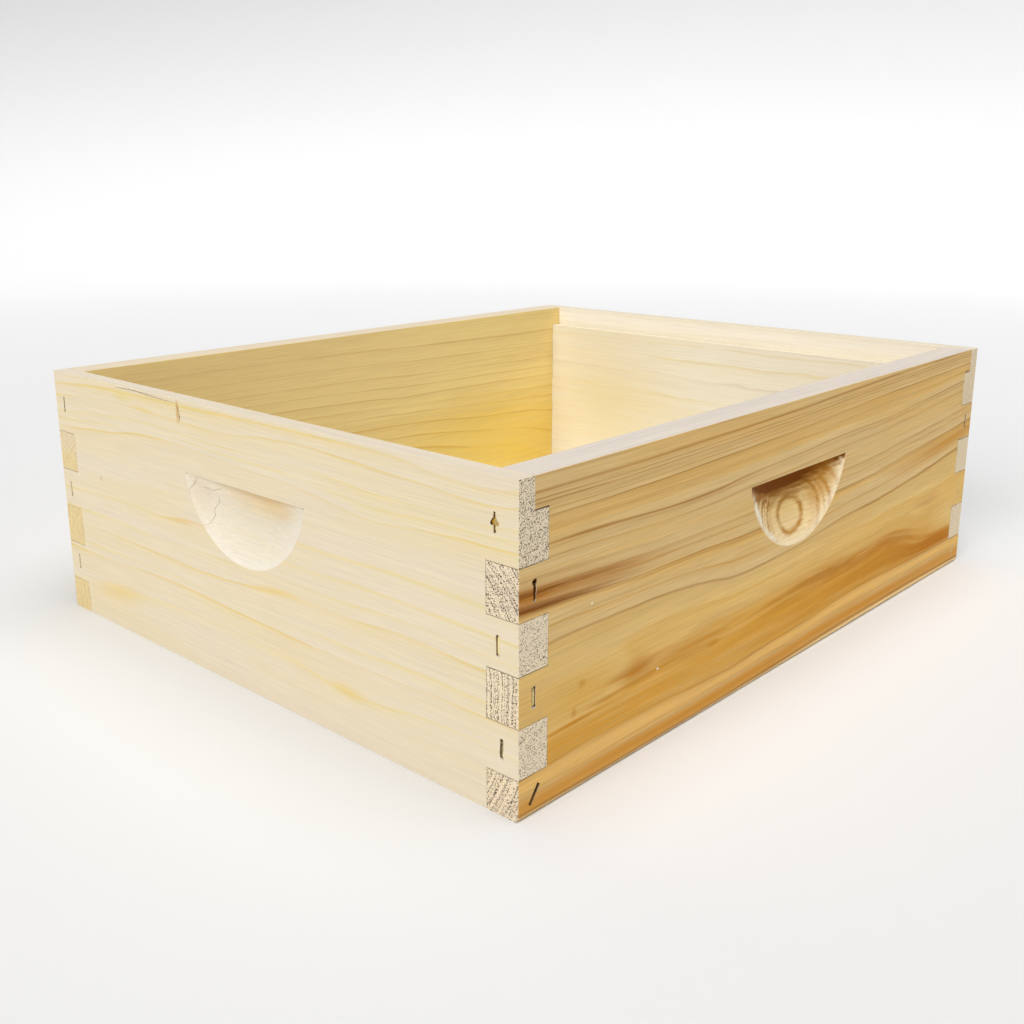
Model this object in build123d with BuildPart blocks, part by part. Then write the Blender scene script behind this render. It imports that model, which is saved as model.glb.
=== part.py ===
"""Beehive super: four boards with finger-jointed, stapled corners, open at the top and the bottom.

Millimetres, +Z up. The origin is the middle of the bottom rim. The front end board faces -Y and the
side boards run along Y.
"""

import os
from math import asin, degrees, hypot, sqrt

from build123d import *

# Outside of the box
LENGTH = 505.0
WIDTH = 413.0
HEIGHT = 165.0
BOARD = 20.0

# Corner fingers, counted from the top: odd ones belong to the end boards, even ones to the side boards
TOP_FINGER = 40.5
FINGER_PITCH = 25.7
JOINT_GAP = 0.2

# Frame rest: the rebate inside the top edge of the end boards, filled at the corners by tongues
REST_DEPTH = 9.5
REST_HEIGHT = 15.5
SHOULDER_GAP = 0.6

# Handholds: half-moon scoops with a flat upper edge. Those of the side boards lie a little nearer to the front
HANDHOLD_WIDTH = 112.0
HANDHOLD_HEIGHT = 46.0
HANDHOLD_DEPTH = 13.0
HANDHOLD_DROP = 43.0
SIDE_HANDHOLD_SHIFT = 3.5

# Rounded lower outside edge of the side boards
EASED_EDGE = 3.0

# Staples, sunk below the face, with legs that reach into the neighbouring board
STAPLE_CROWN = 10.0
STAPLE_LEG = 34.0
STAPLE_WIRE = 1.3
STAPLE_POINT = 2.0
STAPLE_BEND = 0.9
STAPLE_SINK = 0.9
STAPLE_INSET = 10.5
TOP_STAPLE_DROP = 6.0

# Staples that were driven off the usual place: further from the corner, further down, and leaning
OFF_PLACE = {
    ("front_right", 1): (4.0, 0.5, 0.0),
    ("front_right", 3): (2.0, 0.8, 0.0),
    ("front_right", 6): (0.5, 0.0, -36.0),
    ("front_left", 3): (-1.5, 0.4, 4.0),
}

UP = Vector(0, 0, 1)


def outside_face(heading, depth):
    """Plane on the outer face of a board: x along the board, y up, z out of the box."""
    outward = Vector(*heading)
    return Plane(outward * (depth / 2), x_dir=UP.cross(outward), z_dir=outward)


FRONT = outside_face((0, -1, 0), LENGTH)
RIGHT = outside_face((1, 0, 0), WIDTH)
BACK = outside_face((0, 1, 0), LENGTH)
LEFT = outside_face((-1, 0, 0), WIDTH)


def finger_spans():
    """Upper and lower height of every corner finger, from the top down. The last one takes the rest."""
    count = max(1, round((HEIGHT - TOP_FINGER) / FINGER_PITCH))
    cuts = [HEIGHT - TOP_FINGER - FINGER_PITCH * step for step in range(count)]
    return list(zip([HEIGHT, *cuts], [*cuts, 0]))


FINGERS = finger_spans()
END_FINGERS = FINGERS[0::2]
SIDE_FINGERS = FINGERS[1::2]


def both_ends(span, depth, height):
    """The two places, one at each end of a board, for a notch of this depth centred at this height."""
    reach = (span - depth) / 2
    return Locations((-reach, height), (reach, height))


def notch_ends(span, depth, top, bottom):
    """Cut one notch into each end of the board outline that is being drawn."""
    with both_ends(span, depth, (top + bottom) / 2):
        Rectangle(depth, top - bottom, mode=Mode.SUBTRACT)


def bow_outline(crown_height):
    """Outline of a staple: crown along x, its top at the given height, and legs down to chisel points."""
    outer = STAPLE_CROWN / 2
    inner = outer - STAPLE_WIRE
    tip = -STAPLE_SINK - STAPLE_LEG
    under = -STAPLE_SINK - STAPLE_WIRE
    right_leg = [(outer, crown_height), (outer, tip + STAPLE_POINT), (inner, tip), (inner, under)]
    left_leg = [(-x, y) for x, y in reversed(right_leg)]
    return right_leg + left_leg


def staple_plane(corner, number, face, span, end):
    """Plane of one staple: x along its crown, y out of the face that it is driven into."""
    top, bottom = FINGERS[number - 1]
    height = (top + bottom) / 2
    if number == 1:
        height = HEIGHT - REST_HEIGHT - TOP_STAPLE_DROP
    inward, lower, lean = OFF_PLACE.get((corner, number), (0, 0, 0))
    spot = face.from_local_coords(Vector(end * (span / 2 - STAPLE_INSET - inward), height - lower, 0))
    crown = UP.rotate(Axis(spot, face.z_dir), lean)
    return Plane(spot, x_dir=crown, z_dir=crown.cross(face.z_dir))


def corner_staples(corner, end_face, end_side, side_face):
    """Planes of all staples of a corner, by name. The side board meets the corner at its other end."""
    planes = {}
    for number in range(1, len(FINGERS) + 1):
        if number % 2:
            name = f"{corner}_end_staple_{number}"
            planes[name] = staple_plane(corner, number, end_face, WIDTH, end_side)
        else:
            name = f"{corner}_side_staple_{number}"
            planes[name] = staple_plane(corner, number, side_face, LENGTH, -end_side)
    return planes


STAPLES = {
    "front_right": corner_staples("front_right", FRONT, 1, RIGHT),
    "back_right": corner_staples("back_right", BACK, -1, RIGHT),
    "back_left": corner_staples("back_left", BACK, 1, LEFT),
    "front_left": corner_staples("front_left", FRONT, -1, LEFT),
}


def drive_staples(*corners):
    """Cut the slots of the staples at these corners into the open board, out through its face."""
    for corner in corners:
        for plane in STAPLES[corner].values():
            with BuildSketch(plane) as slot:
                with BuildLine():
                    Polyline(bow_outline(STAPLE_SINK), close=True)
                make_face()
            extrude(slot.sketch, amount=STAPLE_WIRE / 2, both=True, mode=Mode.SUBTRACT)


def scoop_handhold(face, shift=0):
    """Cut the handhold into the open board: the part of a ball that lies below a flat ledge, shifted to the front."""
    half = HANDHOLD_WIDTH / 2
    rim = (HANDHOLD_HEIGHT**2 + half**2) / (2 * HANDHOLD_HEIGHT)
    rise = rim - HANDHOLD_HEIGHT
    standoff = (half**2 - HANDHOLD_DEPTH**2) / (2 * HANDHOLD_DEPTH)
    ball = hypot(rim, standoff)
    centre = face.from_local_coords(Vector(0, HEIGHT - HANDHOLD_DROP + rise, standoff)) + FRONT.z_dir * shift
    ledge_angle = -degrees(asin(rise / ball))
    with BuildSketch(Plane(centre, x_dir=-face.z_dir, z_dir=UP.cross(face.z_dir))) as half_section:
        with BuildLine():
            Line((0, -ball), (0, -rise))
            Line((0, -rise), (sqrt(ball**2 - rise**2), -rise))
            CenterArc((0, 0), ball, ledge_angle, -90 - ledge_angle)
        make_face()
    revolve(half_section.sketch, axis=Axis(centre, UP), mode=Mode.SUBTRACT)


def end_board(face, corners):
    """Short board: odd fingers, with the frame rest cut along the inside of its top edge."""
    with BuildPart() as board:
        with BuildSketch(face):
            with Locations((0, HEIGHT / 2)):
                Rectangle(WIDTH, HEIGHT)
            for top, bottom in SIDE_FINGERS:
                notch_ends(WIDTH, BOARD, top + JOINT_GAP / 2, bottom - JOINT_GAP / 2)
        extrude(amount=-BOARD)
        with BuildSketch(face.offset(-BOARD)):
            with Locations((0, HEIGHT - REST_HEIGHT / 2)):
                Rectangle(WIDTH, REST_HEIGHT)
            with both_ends(WIDTH, BOARD, HEIGHT - REST_HEIGHT - SHOULDER_GAP / 2):
                Rectangle(BOARD, SHOULDER_GAP)
        extrude(amount=REST_DEPTH, mode=Mode.SUBTRACT)
        scoop_handhold(face)
        drive_staples(*corners)
    return board.part


def side_board(face, corners):
    """Long board: even fingers, tongues that fill the frame rests, and a rounded lower outside edge."""
    with BuildPart() as board:
        with BuildSketch(face):
            with Locations((0, HEIGHT / 2)):
                Rectangle(LENGTH, HEIGHT)
            notch_ends(LENGTH, BOARD - REST_DEPTH, HEIGHT, HEIGHT - REST_HEIGHT)
            top_socket = [(HEIGHT - REST_HEIGHT - JOINT_GAP / 2, END_FINGERS[0][1])]
            for top, bottom in top_socket + END_FINGERS[1:]:
                notch_ends(LENGTH, BOARD, top + JOINT_GAP / 2, bottom - JOINT_GAP / 2)
        extrude(amount=-BOARD)
        lower_edges = board.edges().filter_by(Axis((0, 0, 0), face.x_dir)).group_by(Axis.Z)[0]
        fillet(lower_edges.sort_by(Axis((0, 0, 0), face.z_dir))[-1], EASED_EDGE)
        scoop_handhold(face, SIDE_HANDHOLD_SHIFT)
        drive_staples(*corners)
    return board.part


def staple(plane):
    """Staple bent from square wire, with its crown below the face of the board."""
    with BuildPart() as piece:
        with BuildSketch(plane) as bow:
            with BuildLine():
                Polyline(bow_outline(-STAPLE_SINK), close=True)
            make_face()
            fillet(bow.vertices().group_by(Axis.Y)[-1], STAPLE_BEND)
        extrude(amount=STAPLE_WIRE / 2, both=True)
    return piece.part


pieces = {
    "front_end_board": end_board(FRONT, ("front_right", "front_left")),
    "back_end_board": end_board(BACK, ("back_right", "back_left")),
    "right_side_board": side_board(RIGHT, ("front_right", "back_right")),
    "left_side_board": side_board(LEFT, ("front_left", "back_left")),
}
for planes in STAPLES.values():
    for name, plane in planes.items():
        pieces[name] = staple(plane)

os.makedirs("parts", exist_ok=True)
for name, piece in pieces.items():
    piece.label = name
    export_step(piece, f"parts/{name}.step")
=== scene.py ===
"""Looks of a beehive super: bare planed pine boards, finger-jointed and stapled at the corners."""

from dataclasses import dataclass
from inspect import signature
from math import cos, pi, radians, sin
from random import Random

import bmesh
import bpy
import numpy as np
from mathutils import Matrix, Vector
from mathutils.bvhtree import BVHTree


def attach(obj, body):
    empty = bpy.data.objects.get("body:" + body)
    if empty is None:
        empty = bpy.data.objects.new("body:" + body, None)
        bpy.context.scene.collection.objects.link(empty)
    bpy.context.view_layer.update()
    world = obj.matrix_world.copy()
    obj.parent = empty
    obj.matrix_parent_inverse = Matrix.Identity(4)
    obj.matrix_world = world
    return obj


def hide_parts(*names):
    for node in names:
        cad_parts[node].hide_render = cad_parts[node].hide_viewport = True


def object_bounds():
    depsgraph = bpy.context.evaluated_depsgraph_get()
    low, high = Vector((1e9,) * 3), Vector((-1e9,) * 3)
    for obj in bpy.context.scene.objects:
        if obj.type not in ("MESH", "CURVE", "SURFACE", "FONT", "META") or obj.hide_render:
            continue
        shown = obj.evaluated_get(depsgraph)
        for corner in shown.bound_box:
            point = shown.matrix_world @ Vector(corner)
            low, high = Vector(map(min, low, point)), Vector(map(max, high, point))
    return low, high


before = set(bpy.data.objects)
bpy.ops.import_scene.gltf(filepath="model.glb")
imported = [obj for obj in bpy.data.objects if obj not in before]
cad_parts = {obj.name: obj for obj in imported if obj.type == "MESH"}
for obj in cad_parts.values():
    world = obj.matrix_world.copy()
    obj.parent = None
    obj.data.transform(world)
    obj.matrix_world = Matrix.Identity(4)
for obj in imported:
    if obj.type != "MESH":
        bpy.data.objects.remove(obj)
CAD_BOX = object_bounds()

MM = 0.001
UP = Vector((0, 0, 1))

# The way each board's outer face looks
FACING = {
    "front_end_board": Vector((0, -1, 0)),
    "right_side_board": Vector((1, 0, 0)),
    "back_end_board": Vector((0, 1, 0)),
    "left_side_board": Vector((-1, 0, 0)),
}

# Board sizes, in millimetres
END_LENGTH, SIDE_LENGTH, BOARD_HEIGHT = [round(side / MM) for side in CAD_BOX[1] - CAD_BOX[0]]
BOARD_THICKNESS = 20

# Board finish
ARRIS = 0.4 * MM
ARRIS_ANGLE = radians(50)
SHARP = radians(20)
SCOOP_EDGE = 1.1 * MM
SCOOP_ROUNDS = 9
CHATTER_PITCH = 2.6 * MM
CHATTER_DEPTH = 0.07 * MM
SPLIT_DEPTH = 1.4 * MM
SPLIT_WANDER = 0.7 * MM
PORE_ROW = 1.6 * MM
GRAIN_RELIEF = 0.2 * MM

# Torn staple holes: depth, reach to each side and length in millimetres, and what share of it their floor has
TORN_DEPTH = 2.4
TORN_ASIDE = (0.65, 1.3)
TORN_LENGTH = (10.0, 10.8)
TORN_FLOOR_SHARE = 0.9

# Room of the handhold's hollow: half its length, its heights above the bottom edge and its depth
HOLLOW_HALF = 63 * MM
HOLLOW_BOTTOM = 50 * MM
HOLLOW_TOP = 123 * MM
HOLLOW_DEPTH = 13.5 * MM

# The painted highlight along the rim of the hollow, out from the face: where it starts and where it is full
RIM_START = -2.6 * MM
RIM_FULL = -0.9 * MM

# Heights between which the end grain gets rougher
ROUGH_START = 98 * MM
ROUGH_FULL = 125 * MM

# How much an edge eased at 45 degrees leans to an axis: where it starts, is full, is still full and ends
EASED = (0.55, 0.6, 0.8, 0.85)

# Staple wire
WIRE = 1.3 * MM
WIRE_BEND = 0.9 * MM
STAPLE_LEG = 32 * MM
CROWN = 10 * MM

# Studio
COVE_RADIUS = 2.2
COVE_BEND = 0.9
COVE_STEPS = 96
COVE_BEND_STEPS = 12


def chip(red, green, blue):
    """A colour read off a paint chip, 0 to 255, as the shader wants it."""
    linear = [((c / 255 + 0.055) / 1.055) ** 2.4 for c in (red, green, blue)]
    return (*linear, 1.0)


def blend(first, second, share):
    """The colour part of the way from the first to the second."""
    return tuple(a + (b - a) * share for a, b in zip(first, second))


def metres(lengths):
    return [length * MM for length in lengths]


def board_axes(out):
    """Turn and shift to a board's own axes: along it, up it and out of its face."""
    turn = Matrix((UP.cross(out), UP, out))
    face = max(corner.dot(out) for corner in CAD_BOX)
    return turn, Vector((0, 0, -face))


def new_piece(name, data):
    """A mesh, light or camera in the scene."""
    piece = bpy.data.objects.new(name, data)
    bpy.context.scene.collection.objects.link(piece)
    return piece


def plain_mesh(piece):
    """A new mesh with the piece's modifiers worked in. The piece loses them."""
    done = piece.evaluated_get(bpy.context.evaluated_depsgraph_get())
    mesh = bpy.data.meshes.new_from_object(done)
    piece.modifiers.clear()
    return mesh


def edited_mesh(name, edit):
    """A new mesh from what was edited, which is over then."""
    mesh = bpy.data.meshes.new(name)
    edit.to_mesh(mesh)
    edit.free()
    return mesh


# Node trees

class Wire:
    """What a node puts out. Reckoning with it adds math nodes."""

    def __init__(self, bench, socket):
        self.bench = bench
        self.socket = socket

    def __add__(self, other):
        return self.bench.math("ADD", self, other)

    def __sub__(self, other):
        return self.bench.math("SUBTRACT", self, other)

    def __rsub__(self, other):
        return self.bench.math("SUBTRACT", other, self)

    def __mul__(self, other):
        return self.bench.math("MULTIPLY", self, other)

    def __truediv__(self, other):
        return self.bench.math("DIVIDE", self, other)

    def __abs__(self):
        return self.bench.math("ABSOLUTE", self)


class Bench:
    """A node tree in the making: adds nodes, sets their sockets and wires them up."""

    def __init__(self, tree):
        self.tree = tree

    def feed(self, socket, value):
        if isinstance(value, Wire):
            self.tree.links.new(value.socket, socket)
        else:
            socket.default_value = value

    def add(self, kind, inputs=None, **settings):
        """A new node. Its inputs go by name or by number."""
        node = self.tree.nodes.new(kind)
        for name, value in settings.items():
            setattr(node, name, value)
        for name, value in (inputs or {}).items():
            self.feed(node.inputs[name], value)
        return node

    def wires(self, node):
        """All that a node puts out, by name."""
        return {socket.name: Wire(self, socket) for socket in node.outputs if socket.name}

    def make(self, kind, inputs=None, output=0, **settings):
        """One output of a new node."""
        return Wire(self, self.add(kind, inputs, **settings).outputs[output])

    def math(self, operation, *values):
        return self.make("ShaderNodeMath", dict(enumerate(values)), operation=operation)

    def vector(self, operation, *values):
        output = "Value" if operation in ("DOT_PRODUCT", "LENGTH") else "Vector"
        return self.make("ShaderNodeVectorMath", dict(enumerate(values)), output, operation=operation)

    def split(self, vector):
        return self.wires(self.add("ShaderNodeSeparateXYZ", {"Vector": vector})).values()

    def join(self, x, y, z):
        return self.make("ShaderNodeCombineXYZ", {"X": x, "Y": y, "Z": z})

    def away(self, place, spot, reach):
        """How far a place lies from a spot, as a share of the reach."""
        return self.vector("LENGTH", self.vector("DIVIDE", self.vector("SUBTRACT", place, spot), reach))

    def noise(self, vector, lumps, detail=2.0, roughness=0.5):
        """Soft noise, 0 to 1, with so many lumps to the metre along each axis."""
        spread = self.vector("MULTIPLY", vector, lumps)
        inputs = {"Vector": spread, "Scale": 1.0, "Detail": detail, "Roughness": roughness}
        return self.make("ShaderNodeTexNoise", inputs, "Fac")

    def line_noise(self, value, scale):
        """Soft noise, 0 to 1, along one measure."""
        inputs = {"W": value, "Scale": scale, "Detail": 1.0}
        return self.make("ShaderNodeTexNoise", inputs, "Fac", noise_dimensions="1D")

    def band(self, value, low, high, bottom=0.0, top=1.0):
        """Smooth step from bottom to top as the value goes from low to high."""
        inputs = {"Value": value, "From Min": low, "From Max": high, "To Min": bottom, "To Max": top}
        return self.make("ShaderNodeMapRange", inputs, interpolation_type="SMOOTHSTEP")

    def window(self, value, start, low, high, stop):
        """1 from low to high, falling smoothly to 0 at start and stop."""
        return self.band(value, start, low) * self.band(value, stop, high)

    def mix(self, amount, first, second, way="MIX"):
        """A blend of two colours. A mix node numbers its colour sockets 6 and 7, and 2 on the way out."""
        inputs = {0: amount, 6: first, 7: second}
        return self.make("ShaderNodeMix", inputs, 2, data_type="RGBA", blend_type=way)

    def grey(self, value):
        return self.make("ShaderNodeCombineColor", {"Red": value, "Green": value, "Blue": value})

    def named(self, label):
        """A direction that the points of a geometry tree carry."""
        return self.make("GeometryNodeInputNamedAttribute", {"Name": label}, data_type="FLOAT_VECTOR")

    def group(self, tree, **inputs):
        return self.wires(self.add("ShaderNodeGroup", inputs, node_tree=tree))


def node_tree(kind, answer_kind):
    """Turns a function into a node group. Its arguments and their defaults come in, its answers go out."""
    kinds = {tuple: "Vector", float: "Float", str: "Material", type(None): "Geometry"}

    def build(work_out):
        tree = bpy.data.node_groups.new(work_out.__name__.replace("_", " "), kind)
        bench = Bench(tree)
        for label, argument in list(signature(work_out).parameters.items())[1:]:
            socket_kind = f"NodeSocket{kinds[type(argument.default)]}"
            socket = tree.interface.new_socket(label, in_out="INPUT", socket_type=socket_kind)
            if argument.default:
                socket.default_value = argument.default
        answers = work_out(bench, **bench.wires(bench.add("NodeGroupInput")))
        for label in answers:
            tree.interface.new_socket(label, in_out="OUTPUT", socket_type=answer_kind)
        bench.add("NodeGroupOutput", answers)
        return tree

    return build


shader_group = node_tree("ShaderNodeTree", "NodeSocketFloat")
geometry_group = node_tree("GeometryNodeTree", "NodeSocketGeometry")


def new_material(name):
    """A new material, the bench of its node tree, and its shader's sockets."""
    material = bpy.data.materials.new(name)
    material.use_nodes = True
    return material, Bench(material.node_tree), material.node_tree.nodes["Principled BSDF"].inputs


# Shared wood effects

@shader_group
def plank_growth(bench, plank=(0, 0, 0), heart_height=0.05, heart_depth=0.09, waver=0.003):
    """Distance from the heart of the tree, which runs behind the plank's face."""
    _, up, out = bench.split(plank)
    from_heart = bench.join(up - heart_height, out + heart_depth, 0.0)
    slow = bench.noise(plank, (6, 16, 16), detail=1.0)
    sway = bench.noise(plank, (35, 60, 60)) * 0.6 + slow - 0.8
    return {"radius": sway * waver + bench.vector("LENGTH", from_heart)}


@shader_group
def ring_swell(bench, plank=(0, 0, 0), radius=0.1, spot=(0, 0, 0), reach=(0.1, 0.1, 0.1), lift=0.0):
    """Rings pushed outwards, or pulled in, round one spot."""
    near = bench.band(bench.away(plank, spot, reach), 0.0, 1.0, 1.0, 0.0)
    return {"radius": near * lift + radius}


@shader_group
def fine_rings(bench, plank=(0, 0, 0), radius=0.1, year_width=0.003, seed=0.0):
    """Thin yearly lines, some stronger than others, that fade in slowly and end sharply."""
    count = radius / year_width
    count = bench.line_noise(count, 0.35) * 2.4 + count
    season = bench.math("FRACT", count)
    rise = bench.band(season, 0.45, 0.93)
    fall = bench.band(season, 0.94, 1.0, 1.0, 0.0)
    year = bench.math("FLOOR", count) + seed
    luck = bench.make("ShaderNodeTexWhiteNoise", {"W": year}, "Value", noise_dimensions="1D")
    patchy = bench.band(bench.noise(plank, (9, 40, 40), detail=1.0), 0.35, 0.6, 0.25, 1.0)
    return {"summer": rise * fall * luck * luck * patchy}


@shader_group
def wood_fibre(bench, plank=(0, 0, 0)):
    """Fibre streaks, resin ducts and clouds of colour, drawn out along the plank."""
    coarse = bench.noise(plank, (9, 700, 700), detail=4.0, roughness=0.7)
    streak = bench.noise(plank, (30, 1500, 1500)) * 0.45 + coarse * 0.55
    duct = bench.band(bench.noise(plank, (60, 1300, 1300), detail=1.0), 0.70, 0.78)
    return {"streak": streak, "duct": duct, "cloud": bench.noise(plank, (5, 42, 42), detail=3.0)}


@shader_group
def sawn_end(bench, plank=(0, 0, 0), normal=(0, 0, 1), grain=(1, 0, 0), radius=0.1, row_width=0.004,
             row_share=0.06, openness=0.5):
    """How much a surface cuts across the fibres, and the torn pores there."""
    turned = abs(bench.vector("DOT_PRODUCT", normal, grain))
    row = bench.band(bench.line_noise(radius / row_width, 1.0), 0.35, 0.65, -1.0, 1.0)
    spot = row * row_share + bench.noise(plank, (500, 1600, 1600), detail=1.0, roughness=0.6)
    pore = bench.band(spot, openness, openness + 0.1) * bench.band(turned, 0.45, 0.9)
    return {"end": bench.band(turned, 0.6, 0.85), "pore": pore}


@shader_group
def wood_stain(bench, plank=(0, 0, 0), spot=(0, 0, 0), reach=(0.1, 0.1, 0.1), streak=0.5, streaky=0.5):
    """A soft mark round one spot, frayed into streaks along the plank, for stains and for patches of painted
    highlight and shade.
    """
    ragged = bench.noise(plank, (10, 220, 220), detail=3.0, roughness=0.65)
    ragged = bench.band(ragged, 0.3, 0.7, -0.5, 0.5)
    near = bench.band(ragged * streaky + bench.away(plank, spot, reach), 0.0, 1.0, 1.0, 0.0)
    return {"stain": near * bench.band(streak, 0.38, 0.6, 1.0 - streaky, 1.0)}


@shader_group
def grain_whorl(bench, plank=(0, 0, 0), spot=(0, 0, 0), reach=0.01, width=0.002, squeeze=1.4, lean=0.2,
                stray=0.004):
    """One ring of a whorl in the grain, feathered along the fibres."""
    along, up, _ = bench.split(bench.vector("SUBTRACT", plank, spot))
    oval = bench.join(along - up * lean, up * squeeze, 0.0)
    feather = bench.noise(plank, (110, 1000, 1000))
    sway = bench.noise(plank, (45, 60, 60), detail=1.0)
    away = (feather + sway - 1.0) * stray + bench.vector("LENGTH", oval)
    return {"ring": bench.band(abs(away - reach), width * 0.75, 0.0)}


# Wood of each board

@dataclass(kw_only=True)
class Figure:
    """How one board was cut from its tree and what its wood looks like. Lengths in millimetres.

    A path is the height a grain line would have in a straight tree, then points of the line from the board's
    left end and down from its top edge. A year is the radius where it ends, its spring colour and its summer
    colour. A swell is a spot, its reach and how far it lifts the rings. Stains, and the patches of painted
    highlight and shade among them, are each a spot, its reach, its colour, its strength and how streaky it
    is.
    Spots are along the board from its middle, up from its bottom edge and out from its face. A ring of the
    whorl, seen in the handhold, is its reach, width, colour and strength. The painted shade under the
    handhold's ledge is the heights where it starts and where it is full, its middle, its bow, its colour and
    its strength.
    """

    length: float
    paths: tuple = ()
    heart_height: float
    heart_depth: float
    waver: float
    years: tuple
    line_width: float
    swells: tuple = ()
    fine_width: float
    fine_share: float
    seed: float
    line: tuple
    plain: tuple
    fade: float
    cloud: tuple
    cloud_share: float
    stains: tuple
    hollow: tuple
    hollow_share: float
    whorl_middle: tuple = (0, 0, 0)
    whorl: tuple = ()
    ledge: tuple
    scooped: tuple
    top_edge: tuple
    end: tuple
    pore: tuple
    pore_share: float
    row_share: float
    openness: float
    rough_top: float = 0.0
    grain: float


def years_from(spring, *ends):
    """Years with one spring colour, from the radius where each ends and its summer colour."""
    return tuple((edge, spring, summer) for edge, summer in ends)


CREAM = chip(228, 214, 189)
BUTTER = chip(229, 210, 154)
PALE_BUTTER = chip(233, 219, 178)
STRAW = chip(228, 201, 128)
MILK = chip(240, 232, 212)
TAN = chip(225, 192, 133)
PALE_TAN = chip(227, 197, 140)
DARK_TAN = chip(204, 158, 90)
HONEY = chip(235, 201, 130)
AMBER = chip(229, 189, 117)
OCHRE = chip(217, 156, 52)
RUST = chip(199, 134, 38)
BROWN = chip(172, 116, 48)
UMBER = chip(142, 86, 30)
DEEP_UMBER = chip(136, 74, 4)
GOLD = chip(255, 231, 159)
DARK_GOLD = chip(218, 166, 72)
WHITE = chip(252, 246, 234)
# Painted sky sheen for the top edges
BLEACHED = chip(221, 214, 207)
PORE = chip(86, 70, 54)
# Painted shade in the staple slots and joints
BRUISE = chip(100, 68, 36)
# Painted shade along the joint seams
SEAM = chip(78, 54, 30)

FIGURES = {}

FIGURES["front_end_board"] = Figure(
    length=END_LENGTH,
    paths=(
        (32, (0, 141), (50, 138), (100, 133.5), (130, 131.5), (200, 132), (250, 133), (285, 136.5),
            (320, 136), (345, 132.7), (413, 132)),
        (47, (0, 119), (60, 118.5), (90, 117), (145, 116.5), (200, 118.3), (300, 119.5), (345, 118),
            (413, 117)),
        (68, (0, 100), (110, 101), (170, 101.5), (205, 99), (250, 94.7), (285, 94.7), (335, 92.2), (380, 94),
            (413, 94.5)),
        (89.5, (0, 78), (40, 77), (80, 74.5), (110, 76), (165, 72), (245, 76), (320, 75), (413, 77)),
        (102, (0, 65), (50, 64), (100, 60), (160, 60.5), (280, 63), (330, 62), (413, 65)),
        (130, (0, 36), (60, 32), (112, 27), (200, 30), (265, 33), (295, 36.5), (315, 38), (355, 35),
            (413, 33)),
        (154, (0, 15), (80, 11), (120, 12), (190, 13.5), (230, 10), (270, 8.7), (310, 11), (345, 12.6),
            (400, 14), (413, 12)),
        (161, (0, 8), (40, 4.5), (100, 3.5), (170, 3), (280, 2.5), (330, 3.2), (365, 7), (395, 7.3),
            (413, 4.5)),
    ),
    heart_height=-60, heart_depth=60, waver=2.6,
    years=years_from(
        CREAM, (109.8, BUTTER), (122.7, STRAW), (129, BUTTER), (141.3, STRAW), (149.5, BUTTER),
        (161.1, BUTTER), (172.7, BUTTER), (181, CREAM), (199.2, STRAW), (205, BUTTER), (211, BUTTER),
        (222.3, STRAW), (229, STRAW)),
    line_width=1.8, fine_width=3.4, fine_share=0.25, seed=3, line=STRAW, plain=CREAM, fade=0.65,
    cloud=BUTTER, cloud_share=0.3,
    stains=(
        ((-146, 28, 0), (44, 10, 20), STRAW, 0.7, 0.3),
        ((86, 31.5, 0), (22, 5.5, 15), STRAW, 0.8, 0.3),
        ((-121, 158.5, 0), (15, 5, 10), chip(226, 208, 140), 0.7, 0.2),
        ((-98, 153.5, 0), (24, 2.5, 10), STRAW, 0.8, 0.2),
        ((28, 68, 0), (34, 4, 12), STRAW, 0.8, 0.3),
        ((-156, 101, 0), (1.4, 3, 8), BROWN, 0.5, 0.2),
        ((-60, 89, 0), (28, 2.4, 8), chip(226, 184, 120), 0.5, 0.3),
        ((-59, 158, 0), (2.4, 9, 8), DARK_TAN, 0.9, 0.0),
        ((192, 143, -1.5), (6, 9, 1.2), chip(232, 180, 76), 1.0, 0.0),
        # Painted shade in the hollow under the handhold's ledge
        ((10, 112, -11), (62, 11, 10), chip(228, 198, 146), 0.9, 0.2),
        ((-48, 104, -3), (20, 30, 8), CREAM, 1.0, 0.1),
        ((-196.5, 85, -2.3), (5, 90, 2.2), chip(196, 158, 98), 0.85, 0.3),
    ),
    hollow=chip(238, 229, 208), hollow_share=0.6, ledge=((120.6, 122.2, 0, 0, chip(150, 116, 62), 0.8),),
    scooped=chip(237, 229, 214), top_edge=chip(226, 214, 194), end=chip(246, 229, 200),
    pore=chip(84, 66, 48), pore_share=1.0, row_share=0.03, openness=0.565, rough_top=0.03, grain=0.4)

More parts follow.
